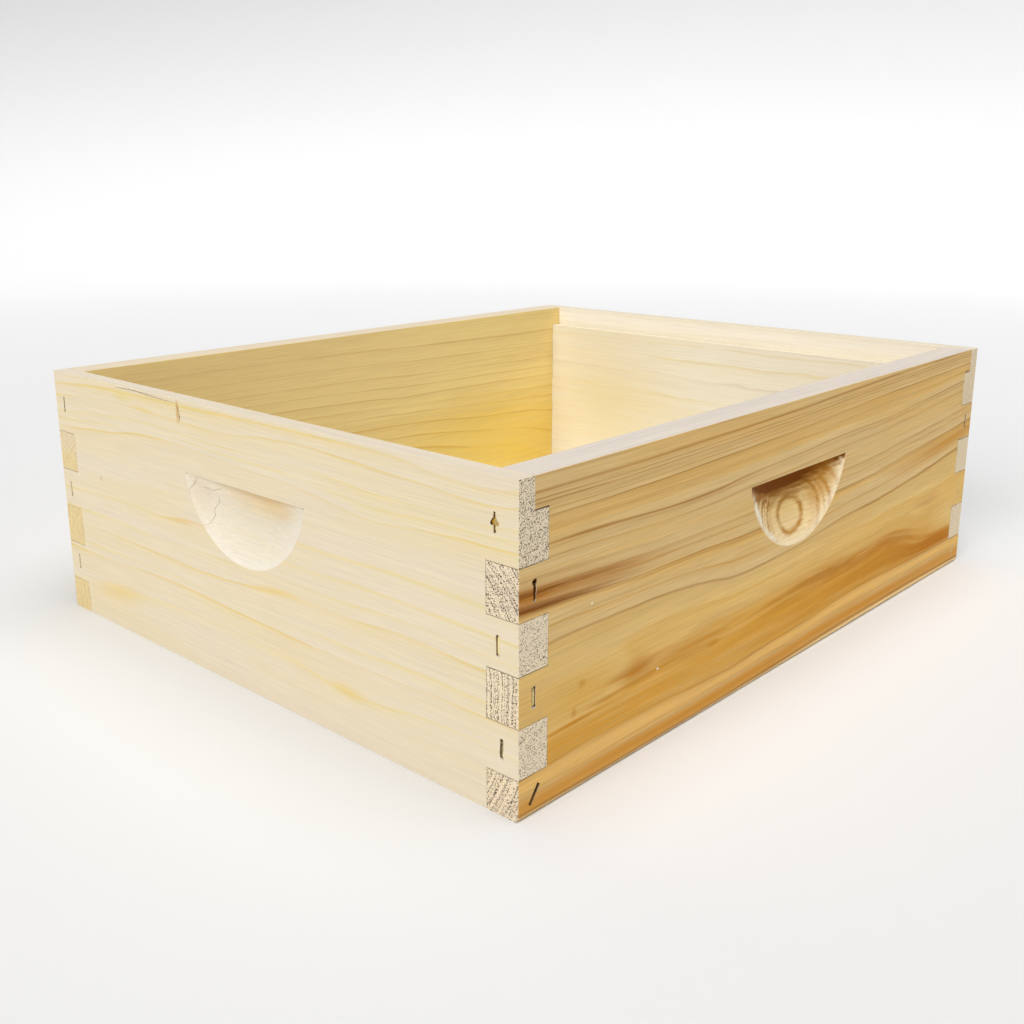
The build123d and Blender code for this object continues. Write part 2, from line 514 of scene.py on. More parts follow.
FIGURES["right_side_board"] = Figure(
    length=SIDE_LENGTH,
    paths=(
        (13, (0, 152), (80, 153), (200, 152.5), (300, 150), (380, 149.5), (505, 151)),
        (21.5, (0, 143.4), (70, 143), (110, 144), (160, 146.6), (185, 147), (225, 144.8), (260, 144.2),
            (310, 141), (360, 140.4), (420, 142.3), (505, 143)),
        (45, (0, 122), (60, 121), (110, 120), (160, 121), (220, 119.5), (260, 118.5), (340, 120),
            (370, 117.5), (400, 120.5), (430, 128), (450, 129.5), (505, 130)),
        (79.7, (0, 81.3), (90, 82.3), (130, 84.2), (160, 88), (178, 91), (240, 90.8), (280, 87.8), (310, 85),
            (365, 83.3), (405, 80.3), (440, 77), (505, 69)),
        (99, (0, 61), (40, 63.5), (80, 66.3), (140, 67.5), (200, 69), (300, 66), (345, 64.8), (385, 61.5),
            (430, 58.7), (465, 56), (505, 52)),
        (132, (0, 33), (60, 34), (110, 36.3), (155, 36.6), (190, 34.5), (240, 33), (300, 30.7), (360, 29.7),
            (420, 26), (505, 20)),
        (147, (0, 20), (100, 20.5), (140, 20), (240, 18), (300, 15.5), (370, 13), (420, 11.5), (505, 9)),
    ),
    heart_height=50.6, heart_depth=86.5, waver=0.8,
    years=(
        (88, chip(234, 196, 120), chip(228, 184, 104)), (91.3, HONEY, BROWN),
        (94.3, PALE_TAN, chip(210, 160, 86)), (97.3, PALE_TAN, AMBER), (99.1, AMBER, BROWN),
        (102.5, PALE_TAN, DARK_TAN), (105, TAN, chip(192, 140, 74)), (110, PALE_TAN, AMBER),
        (114, PALE_TAN, DARK_TAN), (118.8, PALE_TAN, BROWN), (122.5, PALE_TAN, AMBER),
        (124.8, AMBER, DARK_TAN), (129.5, AMBER, BROWN), (131.6, PALE_TAN, DARK_TAN),
        (134.8, TAN, BROWN), (136.2, TAN, BROWN), (138.5, TAN, BROWN),
    ),
    line_width=0.55,
    swells=(
        ((-240, 52, 0), (142, 24, 40), 3.0),
        ((-1, 94, -8), (27, 18, 8), -3),
        ((4, 106, -11), (30, 13, 8), -2.2),
        ((-7, 82.5, -4), (40, 9, 3.9), 1.1),
    ),
    fine_width=2.3, fine_share=0.5, seed=7, line=BROWN, plain=TAN, fade=0.4,
    cloud=chip(226, 178, 94), cloud_share=0.35,
    stains=(
        ((40, 34, 0), (480, 32, 60), OCHRE, 1.0, 0.3),
        ((-220, 29, 0), (150, 13, 40), OCHRE, 0.9, 0.3),
        ((-207, 51, 0), (42, 13, 30), chip(226, 180, 94), 0.95, 0.1),
        ((-162, 47, 0), (26, 9, 30), chip(184, 110, 0), 0.95, 0.5),
        ((-125, 45, 0), (80, 9, 30), RUST, 0.8, 0.6),
        ((-214, 37.6, 0), (30, 2, 20), RUST, 0.9, 0.2),
        ((-188, 41, 0), (22, 2.2, 20), RUST, 0.8, 0.2),
        ((-92, 41, 0), (9, 3, 10), RUST, 0.6, 0.3),
        ((32, 45, 0), (85, 8, 30), chip(178, 108, 14), 0.95, 0.5),
        ((125, 43, 0), (80, 10, 30), chip(184, 112, 14), 0.9, 0.5),
        ((140, 31, 0), (220, 16, 40), RUST, 1.0, 0.35),
        ((215, 29, 0), (90, 11, 30), chip(186, 112, 16), 1.0, 0.3),
        ((212, 37, 0), (62, 11, 30), chip(188, 116, 18), 1.0, 0.2),
        ((228, 51, 0), (48, 11, 30), HONEY, 0.8, 0.1),
        ((0, 17, 0), (2000, 5, 60), chip(240, 194, 112), 0.9, 0.1),
        ((-262, 106, 0), (150, 13, 25), chip(178, 108, 10), 1.0, 0.3),
        ((-262, 108, 0), (90, 4, 25), chip(124, 64, 0), 1.0, 0.4),
        ((-262, 99.5, 0), (120, 3.6, 25), chip(124, 62, 0), 1.0, 0.3),
        ((225, 91, 0), (130, 9, 25), chip(206, 146, 54), 0.95, 0.3),
        ((0, 7.5, 0), (2000, 7, 30), chip(212, 148, 56), 1.0, 0.2),
        ((0, 3.4, 0), (2000, 1.2, 10), UMBER, 0.6, 0.3),
        # Painted highlight on the eased bottom edge, which faces down into shade
        ((0, 0.6, -1), (2000, 3, 4), chip(255, 222, 160), 1.0, 0.1),
        ((-207, 55, 0), (5, 3, 6), RUST, 0.6, 0.2),
        ((-213, 43, 0), (3, 4, 6), RUST, 0.7, 0.2),
        ((187, 62, 0), (34, 5, 15), chip(206, 152, 96), 0.6, 0.4),
        ((-200.5, 91.7, 0), (1.3, 1.1, 4), WHITE, 1.0, 0.0),
        ((-144.5, 42, 0), (1.6, 1.0, 4), WHITE, 1.0, 0.0),
        ((36, 106, -6), (30, 22, 7), chip(204, 144, 48), 0.8, 0.2),
        # Painted highlights along the lit rim of the handhold, at its left and lower left
        ((-48, 104, -2.2), (17, 22, 2.1), chip(255, 250, 232), 1.0, 0.3),
        ((-38, 90, -1.6), (18, 14, 1.55), chip(255, 248, 228), 0.9, 0.3),
        ((-205, 131.5, 0), (60, 1.7, 10), BROWN, 0.9, 0.3),
        ((-95, 131.5, 0), (75, 1.5, 10), BROWN, 0.8, 0.4),
    ),
    hollow=chip(247, 210, 132), hollow_share=0.9, whorl_middle=(-3, 93, 0),
    whorl=(
        (13.4, 5.5, chip(192, 134, 50), 0.95),
        (26, 7, chip(210, 158, 80), 0.4),
        (29.8, 3.4, chip(186, 122, 44), 0.9),
        (39.2, 3.6, chip(186, 122, 44), 0.9),
        (34.6, 1.8, chip(196, 138, 64), 0.6),
        (48, 4.0, chip(196, 138, 62), 0.8),
    ),
    ledge=(
        (100, 107.5, -8, 0.0042, chip(170, 106, 26), 0.88),
        (107.5, 111, -5, 0.0036, DEEP_UMBER, 0.95),
    ),
    scooped=chip(246, 231, 200), top_edge=BLEACHED, end=chip(238, 224, 200), pore=PORE, pore_share=1.0,
    row_share=0.08, openness=0.54, grain=0.75)

FIGURES["back_end_board"] = Figure(
    length=END_LENGTH, heart_height=60, heart_depth=140, waver=4,
    years=years_from(
        MILK, (110, CREAM), (118, CREAM), (126, PALE_BUTTER), (133, CREAM), (140, PALE_BUTTER),
        (147, PALE_BUTTER), (155, CREAM), (162, PALE_BUTTER)),
    line_width=1.6, fine_width=3, fine_share=0.2, seed=11, line=PALE_BUTTER, plain=MILK, fade=0.75,
    cloud=BUTTER, cloud_share=0.25,
    stains=(
        ((120, 80, -20), (120, 90, 30), BUTTER, 0.7, 0.2),
        # Painted light on the top of the board and its frame rest, which the sky lights more
        ((0, 158, -10), (2000, 11, 12), WHITE, 0.9, 0.1),
    ),
    hollow=chip(234, 220, 192), hollow_share=0.6,
    ledge=(
        (105, 113, 0, 0.004, chip(190, 158, 108), 0.75),
        (109, 114, 0, 0.004, chip(146, 112, 64), 0.7),
    ),
    scooped=WHITE, top_edge=chip(224, 212, 188), end=chip(238, 216, 180), pore=PORE, pore_share=0.3,
    row_share=0.04, openness=0.55, rough_top=0.04, grain=0.36)

FIGURES["left_side_board"] = Figure(
    length=SIDE_LENGTH,
    paths=(
        (50, (0, 152), (40, 136), (52, 130), (65, 125), (85, 121), (120, 116), (155, 110), (175, 107),
            (255, 98), (505, 92)),
        (65, (0, 123), (22, 117), (60, 108.5), (100, 104), (140, 99), (185, 94), (230, 91), (255, 88),
            (505, 82)),
        (79, (0, 98), (25, 96), (65, 92), (115, 89.3), (155, 85.5), (195, 82), (255, 79.5), (505, 72)),
        (92, (0, 83), (55, 81), (105, 78), (155, 75), (205, 72), (255, 69.5), (505, 62)),
        (108, (0, 63), (105, 59.7), (165, 58.5), (225, 56.5), (255, 54.3), (505, 50)),
        (125, (0, 45), (105, 43), (175, 41), (255, 37), (505, 33)),
    ),
    heart_height=10, heart_depth=100, waver=1.6,
    years=years_from(
        GOLD, (82, DARK_GOLD), (89.4, DARK_GOLD), (97.1, DARK_GOLD), (105.6, DARK_GOLD), (110, HONEY),
        (114.5, AMBER), (120, HONEY), (126.5, AMBER), (133, HONEY), (140, HONEY), (150, HONEY),
        (160, HONEY)),
    line_width=1.0, fine_width=2.6, fine_share=0.2, seed=19, line=DARK_GOLD, plain=GOLD, fade=0.6,
    cloud=HONEY, cloud_share=0.3,
    stains=(
        ((-180, 50, -20), (220, 80, 60), chip(250, 212, 90), 0.8, 0.2),
        ((252.5, 112, -10), (1.2, 17, 40), chip(240, 232, 232), 1.0, 0.0),
        ((252.5, 60, -10), (1.2, 15, 40), chip(240, 196, 96), 0.8, 0.3),
        ((0, 80, 2), (2000, 400, 9), chip(238, 196, 126), 0.4, 0.3),
        ((130, 150, -20), (330, 80, 12), chip(255, 228, 166), 0.55, 0.2),
    ),
    hollow=chip(246, 212, 136), hollow_share=0.7,
    ledge=(
        (104, 112, 3.5, 0.004, chip(168, 112, 42), 0.8),
        (109, 114, 3.5, 0.004, chip(126, 76, 18), 0.8),
    ),
    scooped=chip(255, 247, 216), top_edge=chip(222, 209, 190), end=chip(228, 208, 162),
    pore=chip(180, 140, 84), pore_share=0.5, row_share=0.08, openness=0.54, grain=0.5)


def grain_line(bench, place, points, length):
    """Height of a drawn grain line at this place along the board."""
    node = bench.add("ShaderNodeFloatCurve", {"Value": place})
    marks = node.mapping.curves[0].points
    spots = [(left / length, 1 - down / BOARD_HEIGHT) for left, down in points]
    marks[0].location, marks[1].location = spots[0], spots[-1]
    for spot in spots[1:-1]:
        marks.new(*spot)
    node.mapping.update()
    return bench.wires(node)["Value"] * (BOARD_HEIGHT * MM)


def straight_grain(bench, plank, figure):
    """The plank as if its tree had grown straight: the drawn paths lie level."""
    along, up, out = bench.split(plank)
    place = along * (1 / (figure.length * MM)) + 0.5
    margin = 30
    line = height = level = -margin * MM
    for straight, *points in (*figure.paths, (BOARD_HEIGHT + margin,)):
        above = grain_line(bench, place, points, figure.length) if points else straight * MM
        share = bench.make("ShaderNodeMapRange", {
            "Value": up, "From Min": line, "From Max": above, "To Min": 0.0, "To Max": straight * MM - level})
        height = share + height
        line, level = above, straight * MM
    return bench.join(along, height, out)


def year_colours(bench, radius, years, line_width):
    """Colour from the heart outwards: each year goes from spring to summer and ends sharply.

    A colour ramp holds 32 stops and a year takes three, so a few years share a ramp.
    """
    batch_size = 9
    colour = None
    begin = years[0][0] - 6
    for first in range(0, len(years), batch_size):
        batch = years[first:first + batch_size]
        span = batch[-1][0] + 1 - begin
        stops = []
        start = begin
        for edge, spring, summer in batch:
            dark = min(line_width, 0.3 * (edge - start))
            turning = blend(spring, summer, 0.25)
            stops += [(start + 0.15, spring), (edge - dark, turning), (edge - 0.1, summer)]
            start = edge
        ramp = bench.add("ShaderNodeValToRGB", {"Fac": (radius - begin * MM) / (span * MM)})
        marks = ramp.color_ramp.elements
        marks[0].position, marks[0].color = 0.0, stops[0][1]
        marks[1].position, marks[1].color = 1.0, stops[-3][1]
        for where, tint in stops:
            marks.new((where - begin) / span).color = tint
        outer = bench.wires(ramp)["Color"]
        if colour:
            outer = bench.mix(bench.math("GREATER_THAN", radius, begin * MM), colour, outer)
        colour = outer
        begin = batch[-1][0]
    return colour


def ring_radius(bench, plank, grown, figure):
    """Distance from the heart of the tree, with the figure's swells."""
    radius = bench.group(
        plank_growth, plank=grown, heart_height=figure.heart_height * MM,
        heart_depth=figure.heart_depth * MM, waver=figure.waver * MM)["radius"]
    for spot, reach, lift in figure.swells:
        radius = bench.group(
            ring_swell, plank=plank, radius=radius, spot=metres(spot), reach=metres(reach),
            lift=lift * MM)["radius"]
    return radius


# Painted shade in slots and joints, in from the board's end and out from its face: start, full, still full
# and end
CRUSHED_INSET = metres((2, 3, 18, 19))
CRUSHED_DEPTH = metres((-7, -6, -0.6, -0.2))


def slot_mask(bench, plank, normal, figure):
    """Painted shade in the staple slots and joints, below the face near the board's ends."""
    along, _, out = bench.split(plank)
    _, _, lift = bench.split(normal)
    inset = figure.length * MM / 2 - abs(along)
    crushed = bench.window(inset, *CRUSHED_INSET) * bench.window(out, *CRUSHED_DEPTH)
    return crushed * bench.band(abs(lift), 0.9999, 0.999)


def seam_mask(bench, plank, normal, grain, figure):
    """Painted shade in patches along the eased edges of the fingers and their sockets, darkening the joint
    seams.
    """
    along, up, out = bench.split(plank)
    _, _, lift = bench.split(normal)
    past_root = abs(along) - (figure.length / 2 - BOARD_THICKNESS) * MM
    turned = abs(bench.vector("DOT_PRODUCT", normal, grain))
    level = bench.window(abs(lift), *EASED) * bench.band(past_root, -1 * MM, -0.5 * MM)
    level = level * bench.window(up, *metres((2, 3, BOARD_HEIGHT - 3, BOARD_HEIGHT - 2)))
    upright = bench.window(turned, *EASED) * bench.band(abs(lift), 0.3, 0.2)
    shoulder = bench.window(past_root, *metres((-1, -0.5, 0.5, 1)))
    inner = bench.band(out, *metres((2 - BOARD_THICKNESS, 1 - BOARD_THICKNESS)))
    upright = upright * bench.math("MAXIMUM", shoulder, inner)
    patchy = bench.band(bench.noise(plank, (60, 90, 90), detail=1.0), 0.4, 0.6, 0.25, 0.95)
    return bench.math("MAXIMUM", level, upright) * patchy


def hollow_mask(bench, plank):
    """Inside the handhold: below the face, in the middle of the board."""
    along, up, out = bench.split(plank)
    sunk = bench.window(out, -HOLLOW_DEPTH - 0.5 * MM, -HOLLOW_DEPTH, -0.3 * MM, -0.05 * MM)
    middle = bench.band(abs(along), HOLLOW_HALF + 1 * MM, HOLLOW_HALF)
    return sunk * middle * bench.band(up, HOLLOW_TOP + 1 * MM, HOLLOW_TOP)


def ringed_wood(bench, grown, radius, fine, fibre, figure):
    """The years' rings, faded in places, with clouds of colour and fine rings over them."""
    colour = year_colours(bench, radius, figure.years, figure.line_width)
    faded = bench.band(bench.noise(grown, (8, 120, 120)), 0.4, 0.62, 0.0, figure.fade)
    colour = bench.mix(faded, colour, figure.plain)
    cloudy = bench.band(fibre["cloud"], 0.42, 0.66, 0.0, figure.cloud_share)
    colour = bench.mix(cloudy, colour, figure.cloud)
    return bench.mix(fine * figure.fine_share, colour, figure.line)


def whorled_wood(bench, plank, inside, colour, figure):
    """The rings of the whorl that the handhold cuts into."""
    patchy = bench.band(bench.noise(plank, (60, 160, 160)), 0.35, 0.6, 0.55, 1.0) * inside
    for reach, width, tint, strength in figure.whorl:
        ring = bench.group(
            grain_whorl, plank=plank, spot=metres(figure.whorl_middle), reach=reach * MM,
            width=width * MM)["ring"]
        colour = bench.mix(ring * strength * patchy, colour, tint)
    return colour


def shaded_wood(bench, plank, inside, colour, figure):
    """The frayed, bowed shade painted under the handhold's ledge."""
    along, up, _ = bench.split(plank)
    fray = bench.band(bench.noise(plank, (28, 420, 420)), 0.3, 0.7, -0.5, 0.5)
    for start, full, middle, bow, tint, strength in figure.ledge:
        aside = along - middle * MM
        height = aside * aside * (-bow / MM) + up
        height = fray * ((full - start) * 0.7 * MM) + height
        # Painted shade, bowed and frayed, under the ledge
        shade = bench.band(height, start * MM, full * MM, 0.0, strength)
        colour = bench.mix(shade * inside, colour, tint)
    return colour


def scooped_wood(bench, plank, facing, colour, figure):
    """Wood in the handhold: paler where it slants, partly as fibres cut across and partly as painted
    highlight, with painted highlight along its rim, whorled, and with painted shade at the top.
    """
    inside = hollow_mask(bench, plank)
    colour = bench.mix(inside * figure.hollow_share, colour, figure.hollow)
    # Paler where the hollow slants: partly fibres cut across, partly painted highlight
    slanted = bench.band(facing, 0.99, 0.9, 0.0, 0.5) * bench.band(facing, 0.4, 0.6)
    colour = bench.mix(slanted, colour, figure.scooped)
    if figure.whorl:
        colour = whorled_wood(bench, plank, inside, colour, figure)
    _, _, out = bench.split(plank)
    # Painted highlight along the rim of the hollow
    rim = bench.band(out, RIM_START, RIM_FULL, 0.0, 0.5)
    colour = bench.mix(rim * inside, colour, figure.scooped)
    return shaded_wood(bench, plank, inside, colour, figure)


def stained_wood(bench, grown, fibre, colour, figure):
    """The figure's stains and its patches of painted highlight and shade, one over the other."""
    for spot, reach, tint, strength, streaky in figure.stains:
        stain = bench.group(
            wood_stain, plank=grown, spot=metres(spot), reach=metres(reach), streak=fibre["streak"],
            streaky=streaky)["stain"]
        colour = bench.mix(stain * strength, colour, tint)
    return colour


def planed_wood(bench, fibre, normal, colour, figure):
    """Light and dark fibres, resin ducts and a painted sky sheen, greyer and paler, on the faces that look
    up.
    """
    shade = fibre["streak"] * figure.grain + (1 - figure.grain / 2)
    colour = bench.mix(1.0, colour, bench.grey(shade), "MULTIPLY")
    colour = bench.mix(fibre["duct"] * 0.2, colour, figure.line)
    # Painted sky sheen, greyer and paler, on the faces that look up
    streaks = bench.grey(bench.band(fibre["streak"], 0.38, 0.62, 0.93, 1.04))
    top_edge = bench.mix(1.0, figure.top_edge, streaks, "MULTIPLY")
    _, _, lift = bench.split(normal)
    return bench.mix(bench.band(lift, 0.7, 0.95, 0.0, 0.85), colour, top_edge)


def sawn_wood(bench, plank, sawn, slot, colour, figure):
    """The flecked end grain and its torn pores, except under the painted shade of the staple slots and
    joints.
    """
    fleck = bench.band(bench.noise(plank, (900, 2600, 2600), detail=1.0), 0.3, 0.7, 0.82, 1.14)
    end = bench.mix(1.0, bench.mix(0.2, figure.end, colour), bench.grey(fleck), "MULTIPLY")
    whole = 1.0 - slot
    colour = bench.mix(sawn["end"] * whole, colour, end)
    return bench.mix(sawn["pore"] * whole * figure.pore_share, colour, figure.pore)


def pine(name, out, figure):
    """Bare planed pine, cut as the figure says, on a board that faces this way."""
    material, bench, shader = new_material(name)
    turn, shift = board_axes(out)
    place = bench.make("ShaderNodeTexCoord", output="Object")
    placing = {"Vector": place, "Rotation": turn.to_euler(), "Location": shift}
    plank = bench.make("ShaderNodeMapping", placing)
    normal = bench.make("ShaderNodeNewGeometry", output="Normal")
    grown = straight_grain(bench, plank, figure) if figure.paths else plank
    radius = ring_radius(bench, plank, grown, figure)
    fine = bench.group(
        fine_rings, plank=plank, radius=radius, year_width=figure.fine_width * MM,
        seed=figure.seed)["summer"]
    fibre = bench.group(wood_fibre, plank=plank)
    _, up, _ = bench.split(plank)
    rougher = figure.openness - figure.rough_top
    openness = bench.band(up, ROUGH_START, ROUGH_FULL, figure.openness, rougher)
    sawn = bench.group(
        sawn_end, plank=plank, normal=normal, grain=turn[0], radius=radius, row_width=PORE_ROW,
        row_share=figure.row_share, openness=openness)
    slot = slot_mask(bench, plank, normal, figure)

    colour = ringed_wood(bench, grown, radius, fine, fibre, figure)
    colour = scooped_wood(bench, plank, bench.vector("DOT_PRODUCT", normal, out), colour, figure)
    # Painted shade in the staple slots and joints, below the face near the ends
    colour = bench.mix(slot, colour, BRUISE)
    colour = stained_wood(bench, grown, fibre, colour, figure)
    colour = planed_wood(bench, fibre, normal, colour, figure)
    colour = sawn_wood(bench, plank, sawn, slot, colour, figure)
    # Painted shade along the joint seams
    colour = bench.mix(seam_mask(bench, plank, normal, turn[0], figure), colour, SEAM)
    bench.feed(shader["Base Color"], colour)

    bench.feed(shader["Roughness"], fine * -0.1 + fibre["streak"] * 0.25 + 0.5)
    relief = fine * 0.4 + fibre["streak"] - sawn["pore"] * 1.5
    bump = bench.make("ShaderNodeBump", {"Height": relief, "Strength": 0.3, "Distance": GRAIN_RELIEF})
    bench.feed(shader["Normal"], bump)
    bench.feed(shader["Specular IOR Level"], 0.05)
    return material


PINE = {node: pine(f"{node} pine", out, FIGURES[node]) for node, out in FACING.items()}


def staple_steel():
    """Thin galvanised wire with a painted reflection of the wood as its yellow, tarnished in patches and, on
    some staples, darkened by painted shade.
    """
    material, bench, shader = new_material("staple wire")
    place = bench.make("ShaderNodeTexCoord", output="Object")
    age = bench.make("ShaderNodeAttribute", output="Fac", attribute_name="age")
    patch = bench.noise(place, (700, 700, 700), detail=3.0)
    tarnish = bench.band(patch + age, 0.45, 1.25)
    # The yellow is a painted reflection of the wood; the dark is tarnish and painted shade
    bench.feed(shader["Base Color"], bench.mix(tarnish, chip(250, 226, 156), chip(62, 44, 24)))
    bench.feed(shader["Roughness"], bench.band(tarnish, 0.0, 1.0, 0.28, 0.6))
    bench.feed(shader["Metallic"], 0.2)
    return material


STEEL = staple_steel()


# Staples

def staple_places():
    """Middle of each staple's crown, the way it was driven from and the way the crown runs."""
    places = {}
    for name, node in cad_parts.items():
        if "staple" not in name:
            continue
        end, side = name.split("_")[:2]
        out = FACING[f"{end}_end_board"] if "_end_" in name else FACING[f"{side}_side_board"]
        axis = np.array(out)
        points = np.array([node.matrix_world @ vert.co for vert in node.data.vertices])
        height = points @ axis
        crown = points[height > height.max() - 0.7 * WIRE]
        middle = (crown.min(0) + crown.max(0)) / 2
        flat = (crown - middle) - np.outer((crown - middle) @ axis, axis)
        way = np.linalg.svd(flat)[2][0]
        middle += axis * (height.max() - middle @ axis)
        places[name] = (Vector(middle), out, Vector(way))
    return places


def real_mesh(bench, geometry, material):
    """What a geometry tree puts out: real meshes instead of instances, in their material."""
    real = bench.make("GeometryNodeRealizeInstances", {"Geometry": geometry})
    return {"mesh": bench.make("GeometryNodeSetMaterial", {"Geometry": real, "Material": material})}


@geometry_group
def bent_staples(bench, places=None, crown=0.01, leg=0.03, wire=0.001, bend=0.001, steel=""):
    """A bent wire with two legs, set at every point with its crown the way the point says."""
    line = bench.make("GeometryNodeCurvePrimitiveLine")
    line = bench.make("GeometryNodeResampleCurve", {"Curve": line, "Count": 4})
    order = bench.make("GeometryNodeInputIndex") - 1.5
    across = bench.math("SIGN", order) * ((crown - wire) / 2.0)
    tip = bench.math("COMPARE", abs(order), 1.5, 0.1)
    corner = bench.join(across, 0.0, tip * leg * -1.0 - wire / 2.0)
    bow = bench.make("GeometryNodeSetPosition", {"Geometry": line, "Position": corner})
    bow = bench.make("GeometryNodeFilletCurve", {"Curve": bow, "Radius": bend, "Count": 4}, mode="POLY")
    cut = bench.make("GeometryNodeCurvePrimitiveQuadrilateral", {"Width": wire, "Height": wire})
    rounding = {"Curve": cut, "Radius": wire * 0.3, "Count": 2}
    cut = bench.make("GeometryNodeFilletCurve", rounding, mode="POLY")
    bow = bench.make("GeometryNodeCurveToMesh", {"Curve": bow, "Profile Curve": cut, "Fill Caps": True})
    axes = {"Primary Axis": bench.named("out"), "Secondary Axis": bench.named("way")}
    turn = bench.make("FunctionNodeAxesToRotation", axes, primary_axis="Z", secondary_axis="X")
    points = bench.make("GeometryNodeMeshToPoints", {"Mesh": places})
    rows = {"Points": points, "Instance": bow, "Rotation": turn}
    return real_mesh(bench, bench.make("GeometryNodeInstanceOnPoints", rows), steel)


@geometry_group
def split_wedge(bench, path=None, width=0.0005, depth=0.0015, wander=0.0004, seed=1.0, wood=""):
    """A split: a thin wedge that follows a path, wanders a little and thins out at its ends."""
    path = bench.make("GeometryNodeMeshToCurve", {"Mesh": path})
    path = bench.make("GeometryNodeResampleCurve", {"Curve": path, "Length": 0.6 * MM}, mode="LENGTH")
    place = bench.vector("ADD", bench.make("GeometryNodeInputPosition"), bench.join(seed, seed, seed))
    noise = {"Vector": place, "Scale": 420.0, "Detail": 2.0}
    wobble = bench.vector("SUBTRACT", bench.make("ShaderNodeTexNoise", noise, "Color"), (0.5, 0.5, 0.5))
    wobble = bench.vector("MULTIPLY", wobble, bench.join(wander, wander, wander))
    path = bench.make("GeometryNodeSetPosition", {"Geometry": path, "Offset": wobble})
    upright = {"Curve": path, "Normal": bench.named("out")}
    path = bench.make("GeometryNodeSetCurveNormal", upright, mode="FREE")
    swell = bench.math("POWER", bench.math("SINE", bench.make("GeometryNodeSplineParameter") * pi), 0.6)
    sizes = {"Width": depth * 2.0, "Bottom Height": width / 2.0, "Top Height": width / 2.0}
    kite = bench.make("GeometryNodeCurvePrimitiveQuadrilateral", sizes, mode="KITE")
    wedge = bench.make("GeometryNodeCurveToMesh", {
        "Curve": path, "Profile Curve": kite, "Fill Caps": True,
        "Scale": bench.math("MAXIMUM", swell, 0.12)})
    return real_mesh(bench, wedge, wood)


def grown_mesh(name, points, edges, attributes, tree, **values):
    """The mesh that a geometry tree makes from a few points and these values."""
    start = bpy.data.meshes.new(f"{name}_start")
    start.from_pydata(points, edges, [])
    for label, rows in attributes.items():
        data = start.attributes.new(label, "FLOAT_VECTOR", "POINT").data
        for item, row in zip(data, rows):
            item.vector = row
    seedling = new_piece(f"{name}_start", start)
    modifier = seedling.modifiers.new(name, "NODES")
    modifier.node_group = tree
    sockets = {item.name: item.identifier for item in tree.interface.items_tree if item.in_out == "INPUT"}
    for label, value in values.items():
        modifier[sockets[label]] = value
    mesh = plain_mesh(seedling)
    mesh.name = name
    bpy.data.objects.remove(seedling)
    bpy.data.meshes.remove(start)
    return mesh


STAPLES = staple_places()

# Staples that went in without tearing the wood
NEAT = ("front_left_end_staple_1", "front_left_end_staple_3", "front_left_end_staple_5",
        "back_right_side_staple_4", "back_right_side_staple_6")

# Staples seen well: how much nearer to the face they were left, in millimetres, and how dark their wire is,
# from 0 for bright to 1, through tarnish and painted shade. The wire of the others is left to chance
STATE = {
    "front_right_end_staple_1": (0, 0.3),
    "front_right_end_staple_3": (0.75, 0.0),
    "front_right_end_staple_5": (0.5, 0.45),
    "front_right_side_staple_2": (0, 1.0),
    "front_right_side_staple_4": (0.55, 0.15),
    "front_right_side_staple_6": (0, 0.9),
    "front_left_end_staple_1": (0.5, 0.4),
    "front_left_end_staple_3": (0.6, 0.4),
    "front_left_end_staple_5": (0.6, 0.3),
    "back_right_side_staple_4": (0.7, 0.1),
    "back_right_side_staple_6": (0.7, 0.2),
}


def staples():
    """All the staples of the box in one piece, in place of the plain CAD ones."""
    chance = Random(5)
    states = [STATE.get(name, (0, chance.uniform(0.3, 0.8))) for name in STAPLES]
    crowns, outs, ways = zip(*STAPLES.values())
    middles = [crown + out * rise * MM for crown, out, (rise, _) in zip(crowns, outs, states)]
    marks = {"out": outs, "way": ways, "age": [Vector((1, 1, 1)) * age for _, age in states]}
    mesh = grown_mesh(
        "corner_staples", middles, [], marks, bent_staples, crown=CROWN, leg=STAPLE_LEG, wire=WIRE,
        bend=WIRE_BEND, steel=STEEL)
    piece = new_piece("corner_staples", mesh)
    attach(piece, "root")
    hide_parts(*STAPLES)


# Boards

def merged_copy(node):
    """A copy of a CAD node's mesh with its loose triangles joined and its flat faces whole."""
    edit = bmesh.new()
    edit.from_mesh(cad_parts[node].data)
    bmesh.ops.remove_doubles(edit, verts=edit.verts, dist=1e-6)
    bmesh.ops.dissolve_limit(edit, angle_limit=0.002, verts=edit.verts, edges=edit.edges)
    return edit


def scoop_ball(edit, out):
    """Centre and radius of the ball that the hollow was cut with, from the slanted faces in its room."""
    turn, shift = board_axes(out)
    points = []
    for face in edit.faces:
        along, height, depth = turn @ face.calc_center_median() + shift
        slanted = max(abs(c) for c in face.normal) < 0.9999
        if slanted and abs(along) < HOLLOW_HALF and height > HOLLOW_BOTTOM and depth < -0.02 * MM:
            points += [vert.co for vert in face.verts]
    table = np.array(points)
    sides = np.c_[2 * table, np.ones(len(table))]
    answer = np.linalg.lstsq(sides, (table**2).sum(1), rcond=None)[0]
    centre = Vector(answer[:3])
    return centre, float(np.sqrt(answer[3] + centre.length_squared))


def break_arrises(edit):
    """Take the sharpness off the outward corners, as a few strokes of sandpaper do."""
    sharp = [edge for edge in edit.edges if edge.calc_face_angle_signed(0) > ARRIS_ANGLE]
    bmesh.ops.bevel(
        edit, geom=sharp, offset=ARRIS, segments=1, affect="EDGES", profile=0.5, clamp_overlap=True)


def hollow_faces(edit, centre, radius):
    """The faces of the hollow: those that lie on the ball and look to its centre."""
    faces = set()
    for face in edit.faces:
        inward = centre - face.calc_center_median()
        if abs(inward.length - radius) < 0.5 * MM and face.normal.dot(inward.normalized()) > 0.95:
            faces.add(face)
    return faces


def inner_verts(hollow):
    """Corners that only faces of the hollow share."""
    verts = {vert for face in hollow for vert in face.verts}
    return [vert for vert in verts if all(face in hollow for face in vert.link_faces)]


